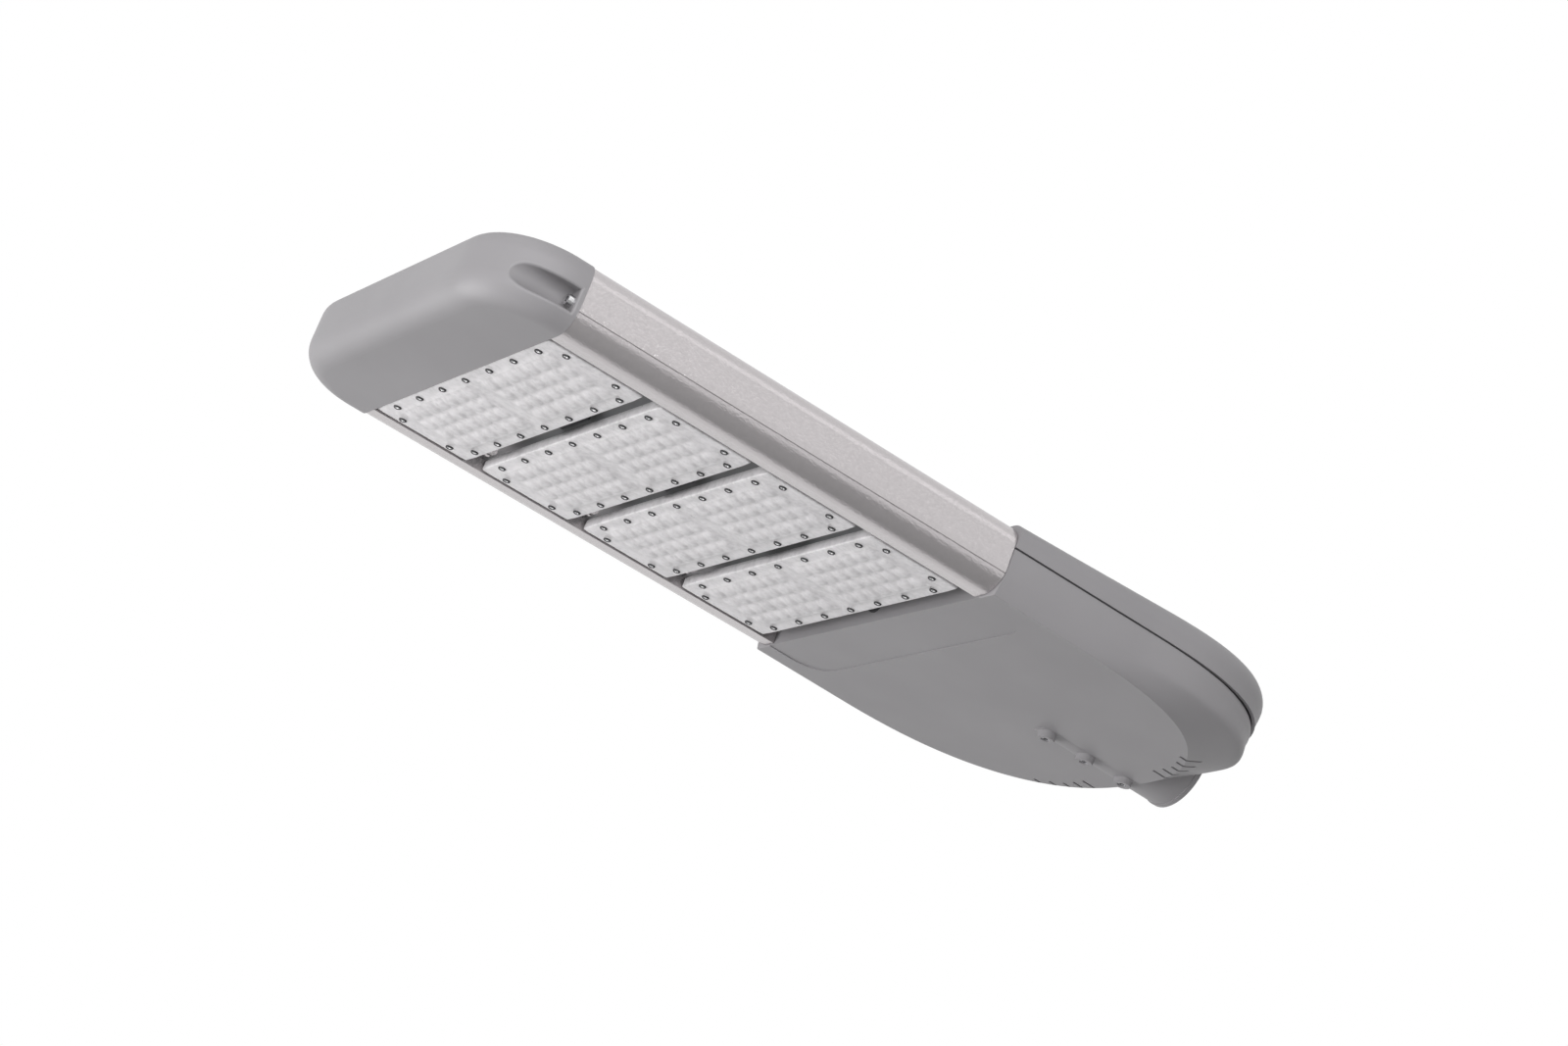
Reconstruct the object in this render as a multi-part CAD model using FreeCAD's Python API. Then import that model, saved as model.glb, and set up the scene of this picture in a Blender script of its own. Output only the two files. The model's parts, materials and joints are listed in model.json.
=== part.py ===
"""LED street light head for a 60 mm pole: a nose cap, two side rails, four LED modules and a gear housing.

Frame, in millimetres: the origin is the centre of the pole socket's mouth. +X points out of the socket,
so the lamp reaches from there to the nose in -X. +Z is up and the LEDs look down.
"""
import FreeCAD, Part
import math
import os

V = FreeCAD.Vector

# Pole socket
POLE_DIAMETER = 60.0
POLE_CLEARANCE = 1.5
SOCKET_DEPTH = 130.0
SOCKET_WALL_INNER = 3.2
SOCKET_WALL_MOUTH = 5.2
SOCKET_END_WALL = 3.5
SOCKET_BEAD = 0.8
SOCKET_BEAD_LENGTH = 4.0
SOCKET_REACH = 12.0
CABLE_HOLE_RADIUS = 9.0
AXIS_ABOVE_FACE = 29.5

# Set screws that hold the pole
SET_SCREW_COUNT = 3
SET_SCREW_PITCH = 40.0
SET_SCREW_FROM_MOUTH = 45.0
SET_SCREW_RADIUS = 4.0
SET_SCREW_HEX = 4.6
SET_SCREW_HEX_DEPTH = 3.0
SET_SCREW_SINK = 1.0
SET_SCREW_SHORT = 0.3
BOSS_RADIUS = 8.4
BOSS_TIP_RADIUS = 7.2
BOSS_DROP = 10.6

# Gear housing and cover
GEAR_LENGTH = 294.5
GEAR_PROUD = 1.1
SIDE_STRAIGHT = 136.5
SIDE_REACH = 176.0
SIDE_POWER = 2.5
FLOOR_INSET = 7.0
FLOOR_STRAIGHT = 86.5
FLOOR_REACH_EXTRA = 9.0
FLOOR_POWER = 2.4
BACK_OVERRUN = 4.0
BACK_SOFTNESS = 2.5
OUTLINE_STEPS = 28
FLOOR_DROP_FRONT = 1.7
FLOOR_DROP_BACK = 6.0
SEAM_HEIGHT = 35.2
SEAM_GAP = 1.6
HOUSING_WALL = 3.0
TONGUE_INSET = 3.4
TONGUE_WALL = 2.0
TONGUE_HEIGHT = 5.0
TONGUE_FOOT_INSET = 2.0
COVER_WALL = 2.6
COVER_FRONT_HEIGHT = 58.5
COVER_BACK_HEIGHT = 79.0
COVER_REACH_LESS = 0.5
COVER_POWER = 2.7
COVER_OVERRUN = 9.0
COVER_LIP = 13.0
COVER_LIP_THICKNESS = 2.4
COVER_LIP_GAP = 0.9
COVER_LIP_INSET = 22.0
COVER_BOSS_HEIGHT = 100.0
SOCKET_NOTCH_GAP = 2.6
STEP_LENGTH = 50.0
STEP_MARGIN = 26.5
STEP_RADIUS = 28.0
STEP_DEPTH = 0.9

# Vent slits in the housing's rear edge
SLIT_COUNT = 5
SLIT_PITCH_SHARE = 0.072
SLIT_FROM_BORE = 15.5
SLIT_WIDTH = 2.8
SLIT_BEFORE_EDGE = 7.0
SLIT_FROM_BACK = 39.5
SLIT_AFTER_EDGE = 4.0
SLIT_GROWTH = 2.4
SLIT_TOP = 6.0
SLIT_BELOW = 5.0

# Side rails
BODY_HALF_WIDTH = 173.9
RAIL_HEIGHT = 54.0
RAIL_WALL = 2.5
RAIL_LOWER_RADIUS = 20.0
RAIL_UPPER_RADIUS = 14.0
RAIL_FLOOR_WIDTH = 30.9
RAIL_TOP_WIDTH = 23.9
RAIL_SHELF_HEIGHT = 10.0
RAIL_GROOVE_HEIGHT = 15.2
RAIL_GROOVE_WIDTH = 1.0
RAIL_GROOVE_DEPTH = 0.9
RAIL_END_GAP = 0.4
PORT_RADIUS = 2.1
PORT_OUTER_RADIUS = 4.4
PORT_HEIGHT = 21.5
PORT_INTO_WALL = 0.5
PORT_PAD_MARGIN = 1.5
PORT_PAD_DEPTH = 2.0
CORNER_PORT_INSET = 5.4
CORNER_PORT_HEIGHT = 5.6

# LED modules
MODULE_COUNT = 4
MODULE_LENGTH = 83.0
MODULE_SIDE_GAP = 4.0
MODULE_GAP = 13.3
LENS_PLATE = 2.4
LENS_SKIRT_WALL = 2.0
LENS_SKIRT = 8.0
LENS_EDGE_RADIUS = 1.6
LENS_CORNER_RADIUS = 4.0
LENS_POCKET_FLOOR = 1.2
DOME_COLUMNS = 7
DOME_ROWS = 4
DOME_MARGIN_X = 7.1
DOME_MARGIN_Y = 14.9
DOME_FIRST_Y = 17.5
DOME_LENGTH = 12.0
DOME_WIDTH = 10.4
DOME_HEIGHT = 3.2
DOME_SIDES = 6
DOME_TOP_SHARE = 0.5
GASKET_THICKNESS = 0.8
GASKET_WIDTH = 2.0
BOARD_THICKNESS = 1.4
BOARD_MARGIN_X = 12.5
BOARD_MARGIN_Y = 13.0
BOARD_CLEARANCE = 0.8
SINK_CLEARANCE = 0.4
SINK_BASE_TOP = 10.0
SINK_FIN_TOP = 49.0
SINK_FIN_COUNT = 9
SINK_FIN_THICKNESS = 2.2
SINK_FIN_MARGIN = 12.0
EAR_THICKNESS = 3.0
EAR_ON_SHELF = 17.0
EAR_SCREW_MARGIN_X = 16.5
EAR_SCREW_MARGIN_Y = 8.0
LENS_SCREW_MARGIN = 6.1
LENS_SCREW_FIRST = 25.0
LENS_SCREW_END_MARGIN_X = 20.0
LENS_SCREW_END_MARGIN_Y = 7.6
LENS_SCREW_COLUMNS = 7
LENS_SCREW_HEAD = 2.7
LENS_SCREW_HEAD_HEIGHT = 1.8
LENS_SCREW_SHANK = 1.4
LENS_SCREW_LENGTH = 6.5
CONNECTOR_HALF_WIDTH = 22.0
CONNECTOR_DEPTH = 8.5
CONNECTOR_BOTTOM = 11.0
CONNECTOR_HEIGHT = 13.0
CONNECTOR_NECK_RADIUS = 3.8
CONNECTOR_NECK_LENGTH = 6.0
CONNECTOR_EDGE_RADIUS = 2.0

# Nose cap
NOSE_LENGTH = 73.5
NOSE_CORNER_RADIUS = 62.0
NOSE_PROUD = 0.9
NOSE_WALL = 3.0
NOSE_LOWER_RADIUS = 19.0
NOSE_GAP = 0.8
SCOOP_RADIUS = 8.8
SCOOP_WALL = 2.6
SCOOP_END_WALL = 4.7
SCOOP_RIM_RADIUS = 2.0

# Fasteners
M5_HEAD_RADIUS = 4.2
M5_HEAD_HEIGHT = 4.8
HEAD_CLEARANCE = 0.3
M5_HEX = 2.4
M5_HEX_DEPTH = 2.5
M5_RADIUS = 2.0
M5_HOLE_RADIUS = 2.6
NOSE_SCREW_LENGTH = 20.0
RAIL_SCREW_LENGTH = 16.0
EAR_SCREW_LENGTH = 5.0
COVER_SCREW_LENGTH = 20.0
TRAY_SCREW_LENGTH = 5.0
THREAD_DEPTH = 4.0
COVER_SCREW_GAP = 4.0

# What the gear compartment holds
POST_RADIUS = 7.0
TRAY_POST_RADIUS = 5.0
CLAMP_POST_INSET = 5.0
COVER_POST_INSET = 30.0
COVER_POST_FRONT = 30.0
COVER_POST_BACK = 46.0
COVER_POST_BACK_SHARE = 0.526
COVER_BORE_RADIUS = 5.2
COVER_BOSS_WALL = 2.3
COVER_SCREW_SEAT = 6.0
TRAY_FRONT = 16.0
TRAY_LENGTH = 128.0
TRAY_MARGIN = 43.0
TRAY_THICKNESS = 1.5
TRAY_CORNER_RADIUS = 6.0
TRAY_HEIGHT = 7.0
TRAY_POST_EDGE = 9.0
DRIVER_LENGTH = 68.0
DRIVER_MARGIN = 27.0
DRIVER_HEIGHT = 37.0
DRIVER_FLANGE = 10.0
DRIVER_FLANGE_THICKNESS = 2.0
DRIVER_FLANGE_INSET = 10.0
DRIVER_EDGE_RADIUS = 4.0
DRIVER_FROM_FRONT = 12.0
SURGE_LENGTH = 30.0
SURGE_WIDTH = 58.0
SURGE_HEIGHT = 26.0
SURGE_EDGE_RADIUS = 2.0
SURGE_MARGIN = 25.0
TERMINAL_LENGTH = 22.0
TERMINAL_WIDTH = 64.0
TERMINAL_HEIGHT = 20.0
TERMINAL_WAYS = 5
TERMINAL_WAY_SHARE = 0.6
TERMINAL_STEP_SHARE = 0.7
TERMINAL_MARGIN = 20.0
CLAMP_WIDTH = 34.0
CLAMP_LENGTH = 12.0
CLAMP_HEIGHT = 9.0
CLAMP_CABLE_RADIUS = 5.0
BEHIND_DRIVER = 8.0
GROMMET_RADIUS = 8.0
GROMMET_FLANGE = 2.5
GROMMET_FLANGE_THICKNESS = 2.0
GROMMET_HEIGHT = 18.0
GROMMET_CORE = 3.0

# Places worked out from the sizes above
RAIL_HALF_WIDTH = BODY_HALF_WIDTH
RAIL_INNER = BODY_HALF_WIDTH - RAIL_FLOOR_WIDTH
RAIL_TOP_INNER = BODY_HALF_WIDTH - RAIL_TOP_WIDTH
GEAR_HALF_WIDTH = BODY_HALF_WIDTH + GEAR_PROUD
STEP_HALF_WIDTH = GEAR_HALF_WIDTH - STEP_MARGIN
TRAY_HALF_WIDTH = GEAR_HALF_WIDTH - TRAY_MARGIN
DRIVER_HALF_WIDTH = TRAY_HALF_WIDTH - DRIVER_MARGIN
SURGE_Y = TRAY_HALF_WIDTH - SURGE_MARGIN - SURGE_WIDTH / 2
TERMINAL_Y = -(TRAY_HALF_WIDTH - TERMINAL_MARGIN - TERMINAL_WIDTH / 2)
COVER_POST_BACK_Y = GEAR_HALF_WIDTH * COVER_POST_BACK_SHARE
MODULE_HALF_WIDTH = RAIL_INNER - MODULE_SIDE_GAP
BOARD_HALF_LENGTH = MODULE_LENGTH / 2 - BOARD_MARGIN_X
BOARD_HALF_WIDTH = MODULE_HALF_WIDTH - BOARD_MARGIN_Y
DOME_PITCH_X = 2 * (BOARD_HALF_LENGTH - DOME_MARGIN_X) / (DOME_ROWS - 1)
DOME_PITCH_Y = (BOARD_HALF_WIDTH - DOME_FIRST_Y - DOME_MARGIN_Y) / (DOME_COLUMNS - 1)
SINK_FIN_HALF_WIDTH = MODULE_HALF_WIDTH - SINK_FIN_MARGIN
EAR_HALF_WIDTH = RAIL_INNER + EAR_ON_SHELF
EAR_SCREW_X = MODULE_LENGTH / 2 - EAR_SCREW_MARGIN_X
EAR_SCREW_Y = EAR_HALF_WIDTH - EAR_SCREW_MARGIN_Y
LENS_SCREW_PITCH = 2 * (MODULE_HALF_WIDTH - LENS_SCREW_FIRST) / (LENS_SCREW_COLUMNS - 1)
LENS_SCREW_ROW = MODULE_LENGTH / 2 - LENS_SCREW_MARGIN
LENS_SCREW_END_X = MODULE_LENGTH / 2 - LENS_SCREW_END_MARGIN_X
LENS_SCREW_END_Y = MODULE_HALF_WIDTH - LENS_SCREW_END_MARGIN_Y
BORE_RADIUS = POLE_DIAMETER / 2 + POLE_CLEARANCE
SLIT_FIRST = BORE_RADIUS + SLIT_FROM_BORE
SLIT_PITCH = GEAR_HALF_WIDTH * SLIT_PITCH_SHARE
FLOOR_REACH = SIDE_REACH + FLOOR_REACH_EXTRA
COVER_REACH = SIDE_REACH - COVER_REACH_LESS
FACE = -AXIS_ABOVE_FACE
BACK = -SOCKET_REACH
FRONT = BACK - GEAR_LENGTH
SOCKET_END = -SOCKET_DEPTH
SEAM = FACE + SEAM_HEIGHT
COVER_RIM = SEAM + SEAM_GAP
MODULE_PITCH = MODULE_LENGTH + MODULE_GAP
LAST_MODULE = FRONT - MODULE_GAP - MODULE_LENGTH / 2
FIRST_MODULE = LAST_MODULE - (MODULE_COUNT - 1) * MODULE_PITCH
NOSE_SEAM = FIRST_MODULE - MODULE_LENGTH / 2 - NOSE_GAP
RAIL_FRONT = NOSE_SEAM + RAIL_END_GAP
RAIL_BACK = FRONT - RAIL_END_GAP
NOSE_TIP = NOSE_SEAM - NOSE_LENGTH
PORT_Y = RAIL_HALF_WIDTH - RAIL_WALL - PORT_OUTER_RADIUS + PORT_INTO_WALL
PORT_Z = FACE + PORT_HEIGHT
CORNER_PORT_Y = RAIL_INNER + CORNER_PORT_INSET
CORNER_PORT_Z = FACE + CORNER_PORT_HEIGHT
PORT_SEAT = HOUSING_WALL + PORT_PAD_DEPTH
BIG = 1000.0


def box(x0, x1, y0, y1, z0, z1):
    """A block between two corners."""
    return Part.makeBox(x1 - x0, y1 - y0, z1 - z0, V(x0, y0, z0))


def rod(radius, length, start, direction):
    """A round bar from its start along a direction."""
    return Part.makeCylinder(radius, length, start, direction)


def prism(corners, travel):
    """A flat outline pushed along a vector."""
    return Part.Face(Part.makePolygon(corners + corners[:1])).extrude(travel)


def mirrored(shape):
    """The same shape on the lamp's other side."""
    return shape.mirror(V(0, 0, 0), V(0, 1, 0))


def regular(sides, radius_x, radius_y, centre, turn=0.0):
    """The corners of a many-sided oval in a level plane."""
    steps = [2 * math.pi * (i + turn) / sides for i in range(sides)]
    return [centre + V(radius_x * math.cos(a), radius_y * math.sin(a), 0) for a in steps]


def save(node, shapes):
    """Write a node's solids, one or many, to its file."""
    shape = shapes[0] if len(shapes) == 1 else Part.makeCompound(shapes)
    shape.exportStep("parts/" + node + ".step")


def rounded(angle, centre, reach, half_width, power):
    """A point of a superellipse in plan, by its angle from the lamp's axis."""
    x = centre + reach * max(math.cos(angle), 0.0) ** (2 / power)
    y = math.copysign(half_width * abs(math.sin(angle)) ** (2 / power), math.sin(angle))
    return x, y


def outline(front, place, height):
    """A closed outline in plan: a straight front, straight sides and a rounded rear end.

    place gives the rounded end's points by angle, and height gives z for each x, so that the outline
    may slope.
    """
    points = []
    for i in range(OUTLINE_STEPS + 1):
        x, y = place(math.pi / 2 - math.pi * i / OUTLINE_STEPS)
        points.append(V(x, y, height(x)))
    curve = Part.BSplineCurve()
    curve.interpolate(Points=points)
    half = points[0].y
    near = V(front, -half, height(front))
    far = V(front, half, height(front))
    edges = [
        Part.makeLine(near, far),
        Part.makeLine(far, points[0]),
        curve.toShape(),
        Part.makeLine(points[-1], near),
    ]
    return Part.Wire(edges)


def sloped(front, back):
    """Height that changes evenly from the gear housing's front to its back, above the lens face."""
    def height(x):
        return FACE + front + (back - front) * (x - FRONT) / GEAR_LENGTH
    return height


def flattened(x, limit, softness):
    """A place along the lamp, held back so that it blends into a flat end at the limit."""
    return limit - softness * math.log(1 + math.exp((limit - x) / softness))


def housing_place(inset, share_x, share_y):
    """The housing's rounded end between the floor's outline and the wall's, by two shares."""
    def place(angle):
        x0, y0 = rounded(angle, FRONT + FLOOR_STRAIGHT, FLOOR_REACH - inset,
                         GEAR_HALF_WIDTH - FLOOR_INSET - inset, FLOOR_POWER)
        x1, y1 = rounded(angle, FRONT + SIDE_STRAIGHT, SIDE_REACH - inset,
                         GEAR_HALF_WIDTH - inset, SIDE_POWER)
        x1 = flattened(x1, BACK + BACK_OVERRUN - inset, BACK_SOFTNESS)
        return x0 + (x1 - x0) * share_x, y0 + (y1 - y0) * share_y
    return place


def housing_block(inset, top):
    """The gear housing's outer form, or with an inset the hollow in it, up to a height above the face.

    Each section blends from the floor's outline to the wall's: the shares are how far out it has come
    along the lamp and across it, and the climb is how far up it is.
    """
    floor_front = -FLOOR_DROP_FRONT + inset
    floor_back = -FLOOR_DROP_BACK + inset
    rise = (
        (0.0, 0.0, 0.0),
        (0.15, 0.30, 0.32),
        (0.30, 0.61, 0.58),
        (0.385, 0.83, 0.71),
        (0.5, 0.99, 0.84),
        (0.64, 1.0, 0.94),
        (0.82, 1.0, 1.0),
        (1.0, 1.0, 1.0),
    )
    wires = []
    for climb, share_x, share_y in rise:
        front = floor_front + (SEAM_HEIGHT - floor_front) * climb
        back = floor_back + (SEAM_HEIGHT - floor_back) * climb
        wires.append(outline(FRONT + inset, housing_place(inset, share_x, share_y), sloped(front, back)))
    block = Part.makeLoft(wires, True, False, False, 3)
    if top > SEAM_HEIGHT:
        lid = wires[-1].copy()
        block = block.fuse(Part.Face(lid).extrude(V(0, 0, top - SEAM_HEIGHT)))
    return block.cut(box(BACK - inset, BACK + BIG, -BIG, BIG, -BIG, BIG))


def cover_block(inset):
    """The cover's outer form, or with an inset the hollow in it.

    Each row is how far the outline draws in at the sides and at the back, and how far it has climbed
    at the front and at the back.
    """
    rows = (
        (-0.4, 1.6, 0.0, 0.0),
        (-1.2, 0.8, 0.38, 0.25),
        (0.2, 0.6, 0.66, 0.47),
        (5.0, 4.6, 0.86, 0.66),
        (17.0, 17.0, 0.95, 0.84),
        (43.0, 43.0, 0.985, 0.95),
        (82.0, 82.0, 1.0, 1.0),
    )
    rim = SEAM_HEIGHT + SEAM_GAP
    wires = []
    for draw_in, draw_back, climb_front, climb_back in rows:
        front = rim + (COVER_FRONT_HEIGHT - inset - rim) * climb_front
        back = rim + (COVER_BACK_HEIGHT - inset - rim) * climb_back
        half = GEAR_HALF_WIDTH - draw_in - inset
        reach = COVER_REACH - draw_back - inset

        def place(angle):
            return rounded(angle, FRONT + SIDE_STRAIGHT, reach, half, COVER_POWER)

        wires.append(outline(FRONT - COVER_OVERRUN, place, sloped(front, back)))
    block = Part.makeLoft(wires, True, False, False, 3)
    ends = [
        box(-BIG, FRONT + inset, -BIG, BIG, -BIG, BIG),
        box(BACK - inset, BIG, -BIG, BIG, -BIG, BIG),
    ]
    return block.cut(ends)


def between(outer, inner, rim):
    """The solid between two closed forms that stand on the same level rim."""
    skins = []
    for form in (outer, inner):
        skins.append([face.copy() for face in form.Faces if face.BoundBox.ZMax > rim + 0.01])
    for face in skins[1]:
        face.reverse()
    floors = [[face for face in form.Faces if face.BoundBox.ZMax < rim + 0.01] for form in (outer, inner)]
    ring = floors[0][0].cut(floors[1][0])
    shell = Part.makeShell(skins[0] + skins[1] + ring.Faces)
    shell.sewShape()
    return Part.makeSolid(shell)


def upright_ring(outer, inner, low, high):
    """An upright band that follows the gear housing's outline between two insets and two heights."""
    bands = []
    for inset in (outer, inner):
        wire = outline(FRONT + inset, housing_place(inset, 1.0, 1.0), lambda x: low)
        band = Part.Face(wire).extrude(V(0, 0, high - low))
        bands.append(band.cut(box(BACK - inset, BACK + BIG, -BIG, BIG, -BIG, BIG)))
    return bands[0].cut(bands[1])


def socket_outer():
    """The barrel round the pole: a draughted tube with a bead at its mouth, still solid."""
    length = SOCKET_DEPTH + SOCKET_END_WALL
    inner = BORE_RADIUS + SOCKET_WALL_INNER
    mouth = BORE_RADIUS + SOCKET_WALL_MOUTH
    barrel = Part.makeCone(inner, mouth, length, V(-length, 0, 0), V(1, 0, 0))
    bead = rod(mouth + SOCKET_BEAD, SOCKET_BEAD_LENGTH, V(-SOCKET_BEAD_LENGTH, 0, 0), V(1, 0, 0))
    return barrel.fuse(bead)


def set_screw_places():
    """Where the set screws stand along the socket."""
    return [-SET_SCREW_FROM_MOUTH - i * SET_SCREW_PITCH for i in range(SET_SCREW_COUNT)]


def cover_screw_places():
    """The four screws that hold the cover down, in plan."""
    front = FRONT + COVER_POST_FRONT
    side = GEAR_HALF_WIDTH - COVER_POST_INSET
    return [(front, side), (front, -side), (BACK - COVER_POST_BACK, COVER_POST_BACK_Y),
            (BACK - COVER_POST_BACK, -COVER_POST_BACK_Y)]


def tray_screw_places():
    """The four screws that hold the gear tray down, in plan."""
    x0 = FRONT + TRAY_FRONT + TRAY_POST_EDGE
    x1 = FRONT + TRAY_FRONT + TRAY_LENGTH - TRAY_POST_EDGE
    y = TRAY_HALF_WIDTH - TRAY_POST_EDGE
    return [(x0, y), (x0, -y), (x1, y), (x1, -y)]


def rail_ports():
    """The two screw ports of the far rail, as places across the lamp."""
    return [(PORT_Y, PORT_Z), (CORNER_PORT_Y, CORNER_PORT_Z)]


def floor_top(x):
    """The height of the housing's floor inside, at a place along the lamp."""
    return sloped(-FLOOR_DROP_FRONT, -FLOOR_DROP_BACK)(x) + HOUSING_WALL


def slits():
    """Vent slits each side of the socket, cut through the rear edge where the floor starts to rise."""
    cuts = []
    half_floor = GEAR_HALF_WIDTH - FLOOR_INSET
    for i in range(SLIT_COUNT):
        y = SLIT_FIRST + i * SLIT_PITCH
        share = (1 - (y / half_floor) ** FLOOR_POWER) ** (1 / FLOOR_POWER)
        edge = FRONT + FLOOR_STRAIGHT + FLOOR_REACH * share
        start = min(edge - SLIT_BEFORE_EDGE, BACK - SLIT_FROM_BACK)
        end = edge + SLIT_AFTER_EDGE + SLIT_GROWTH * i
        low = FACE - FLOOR_DROP_BACK - SLIT_BELOW
        cut = box(start, end, y - SLIT_WIDTH / 2, y + SLIT_WIDTH / 2, low, FACE + SLIT_TOP)
        cuts += [cut, mirrored(cut)]
    return cuts


def floor_step():
    """The shallow panel let into the underside behind the modules."""
    r = STEP_RADIUS
    w = STEP_HALF_WIDTH
    x1 = FRONT + STEP_LENGTH
    panel = box(FRONT - 1, x1, -w, w, FACE - 20, FACE)
    corners = [e for e in panel.Edges
               if abs(e.BoundBox.XMin - x1) < 0.01 and e.BoundBox.ZLength > 1 and e.BoundBox.YLength < 0.01]
    panel = panel.makeFillet(r, corners)
    under = box(FRONT - 2, x1 + 2, -w - 2, w + 2, -BIG, 0)
    angle = math.degrees(math.atan((FLOOR_DROP_BACK - FLOOR_DROP_FRONT) / GEAR_LENGTH))
    under.translate(V(0, 0, FACE - FLOOR_DROP_FRONT + STEP_DEPTH))
    under.rotate(V(FRONT, 0, FACE - FLOOR_DROP_FRONT + STEP_DEPTH), V(0, 1, 0), angle)
    return panel.common(under)


def gear_housing():
    """The lower casting: floor and walls, pole socket, set screw bosses, posts and vent slits."""
    body = housing_block(0.0, SEAM_HEIGHT)
    hollow = housing_block(HOUSING_WALL, SEAM_HEIGHT + 1)
    inner = TONGUE_INSET + TONGUE_WALL
    tongue = upright_ring(TONGUE_INSET, inner, SEAM - TONGUE_HEIGHT, SEAM + TONGUE_HEIGHT)
    foot = upright_ring(TONGUE_FOOT_INSET, inner, SEAM - TONGUE_HEIGHT, SEAM - 0.5)
    body = body.cut(hollow).fuse([tongue, foot])
    posts = []
    for x, y in cover_screw_places():
        posts.append(rod(POST_RADIUS, SEAM - floor_top(x) + 1, V(x, y, floor_top(x) - 1), V(0, 0, 1)))
    clamp_x = SOCKET_END - SOCKET_END_WALL - CLAMP_LENGTH / 2
    clamp_y = CLAMP_WIDTH / 2 - CLAMP_POST_INSET
    for x, y in tray_screw_places() + [(clamp_x, -clamp_y), (clamp_x, clamp_y)]:
        low = floor_top(x) - 1
        posts.append(rod(TRAY_POST_RADIUS, FACE + TRAY_HEIGHT - low, V(x, y, low), V(0, 0, 1)))
    for x in set_screw_places():
        low = FACE - BOSS_DROP
        posts.append(Part.makeCone(BOSS_TIP_RADIUS, BOSS_RADIUS, BOSS_DROP, V(x, 0, low), V(0, 0, 1)))
    for y, z in rail_ports():
        pad = rod(PORT_OUTER_RADIUS + PORT_PAD_MARGIN, PORT_SEAT, V(FRONT, y, z), V(1, 0, 0))
        posts += [pad, mirrored(pad)]
    body = body.fuse(posts + [socket_outer()])
    cuts = [rod(BORE_RADIUS, SOCKET_DEPTH + 1, V(-SOCKET_DEPTH, 0, 0), V(1, 0, 0))]
    cable_way = V(SOCKET_END - SOCKET_END_WALL - 1, 0, 0)
    cuts.append(rod(CABLE_HOLE_RADIUS, SOCKET_END_WALL + 2, cable_way, V(1, 0, 0)))
    for x in set_screw_places():
        cuts.append(rod(SET_SCREW_RADIUS, BOSS_DROP, V(x, 0, FACE - BOSS_DROP - 0.5), V(0, 0, 1)))
    for x, y in cover_screw_places():
        low = SEAM - COVER_SCREW_LENGTH + COVER_SCREW_GAP
        cuts.append(rod(M5_RADIUS, COVER_SCREW_LENGTH, V(x, y, low), V(0, 0, 1)))
    for x, y in tray_screw_places():
        cuts.append(rod(M5_RADIUS, THREAD_DEPTH + 1, V(x, y, FACE + TRAY_HEIGHT - THREAD_DEPTH), V(0, 0, 1)))
    for y, z in rail_ports():
        hole = rod(M5_HOLE_RADIUS, PORT_SEAT + 2, V(FRONT - 1, y, z), V(1, 0, 0))
        room = rod(M5_HEAD_RADIUS + HEAD_CLEARANCE, M5_HEAD_HEIGHT + 1,
                   V(FRONT + PORT_SEAT, y, z), V(1, 0, 0))
        cuts += [hole, mirrored(hole), room, mirrored(room)]
    cuts.append(rod(GROMMET_RADIUS, HOUSING_WALL + 2, V(FRONT - 1, 0, FACE + GROMMET_HEIGHT), V(1, 0, 0)))
    return body.cut(cuts + slits() + [floor_step()])


def gear_cover():
    """The upper casting: a domed shell with a front lip over the rails and bosses for its screws."""
    body = between(cover_block(0.0), cover_block(COVER_WALL), COVER_RIM)
    core = cover_block(COVER_WALL / 2)
    half = GEAR_HALF_WIDTH - COVER_LIP_INSET
    lip_low = FACE + RAIL_HEIGHT + COVER_LIP_GAP
    lip = box(FRONT - COVER_LIP, FRONT + COVER_WALL, -half, half, lip_low, lip_low + COVER_LIP_THICKNESS)
    bosses = []
    for x, y in cover_screw_places():
        boss = rod(COVER_BORE_RADIUS + COVER_BOSS_WALL, COVER_BOSS_HEIGHT, V(x, y, COVER_RIM), V(0, 0, 1))
        bosses.append(boss.common(core))
    body = body.fuse(bosses + [lip])
    mouth = BORE_RADIUS + SOCKET_WALL_MOUTH + SOCKET_NOTCH_GAP
    cuts = [rod(mouth, 30, V(BACK - 20, 0, 0), V(1, 0, 0))]
    for x, y in cover_screw_places():
        seat = COVER_RIM + COVER_SCREW_SEAT
        cuts.append(rod(COVER_BORE_RADIUS, COVER_BOSS_HEIGHT, V(x, y, seat), V(0, 0, 1)))
        cuts.append(rod(M5_HOLE_RADIUS, COVER_BOSS_HEIGHT, V(x, y, SEAM), V(0, 0, 1)))
    return body.cut(cuts)


def socket_screw(length, seat, direction):
    """A socket-head screw: its head sits on the seat and its shank runs along the direction."""
    head = rod(M5_HEAD_RADIUS, M5_HEAD_HEIGHT, V(0, 0, 0), V(0, 0, -1))
    shank = rod(M5_RADIUS, length, V(0, 0, 0), V(0, 0, 1))
    corners = regular(6, M5_HEX, M5_HEX, V(0, 0, -M5_HEAD_HEIGHT))
    key = prism(corners, V(0, 0, M5_HEX_DEPTH))
    screw = head.fuse(shank).cut(key)
    screw.Placement = FreeCAD.Placement(seat, FreeCAD.Rotation(V(0, 0, 1), direction))
    return screw


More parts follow.
